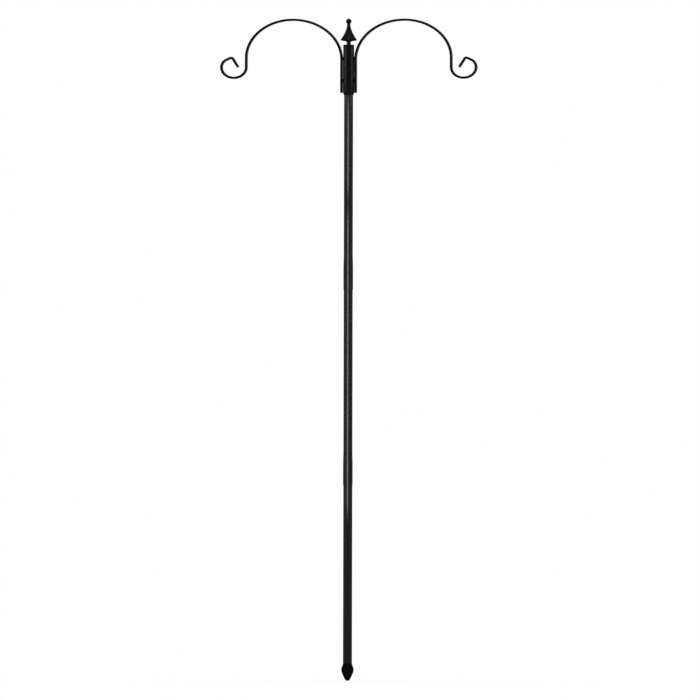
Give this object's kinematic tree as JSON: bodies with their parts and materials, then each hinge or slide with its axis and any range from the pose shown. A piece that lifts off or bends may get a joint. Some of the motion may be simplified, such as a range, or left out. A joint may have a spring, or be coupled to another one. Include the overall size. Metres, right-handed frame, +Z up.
{
  "type": "hanging plant pole",
  "caption": "Sectional steel pole with a spade point for the soil and a swivelling head, whose mirrored arched arms end in scroll hooks for hanging baskets.",
  "frame": {"origin": "on the pole's axis at the soil line, 300 mm above the tip of the spade point", "axes": "+Z up along the pole towards the finial, +X along the right arm, +Y square to the plane of the arms, away from the viewer"},
  "size_m": [0.7322, 0.0438, 1.8399],
  "materials": {
    "powder_coat": "black powder coat on steel, half gloss, faint orange peel",
    "casting": "black powder coat on a casting, half gloss",
    "nylon": "moulded black nylon, satin",
    "zinc_plate": "zinc-plated steel"
  },
  "bodies": {
    "lower_section": {"lower_tube": "powder_coat"},
    "middle_section": {"middle_tube": "powder_coat"},
    "upper_section": {"upper_tube": "powder_coat"},
    "end_plug": {"pole_end_plug": "nylon"},
    "head": {"head_sleeve": "powder_coat", "stop_disc": "powder_coat", "sleeve_cap": "powder_coat", "finial": "casting", "finial_washer": "casting", "finial_stud": "zinc_plate", "finial_nut": "zinc_plate", "left_arm": "powder_coat", "left_upper_weld": "powder_coat", "left_lower_weld": "powder_coat", "right_arm": "powder_coat", "right_upper_weld": "powder_coat", "right_lower_weld": "powder_coat"}
  },
  "joints": [
    {"name": "middle_section_lift", "type": "slide", "parent": "lower_section", "child": "middle_section", "axis": [0, 0, 1], "range_m": [0, 0.075]},
    {"name": "upper_section_lift", "type": "slide", "parent": "middle_section", "child": "upper_section", "axis": [0, 0, 1], "range_m": [0, 0.075]},
    {"name": "head_swivel", "type": "hinge", "parent": "upper_section", "child": "end_plug", "pos_m": [0, 0, 1.387], "axis": [0, 0, 1], "continuous": true},
    {"name": "head_lift", "type": "slide", "parent": "end_plug", "child": "head", "axis": [0, 0, 1], "range_m": [0, 0.08]}
  ]
}
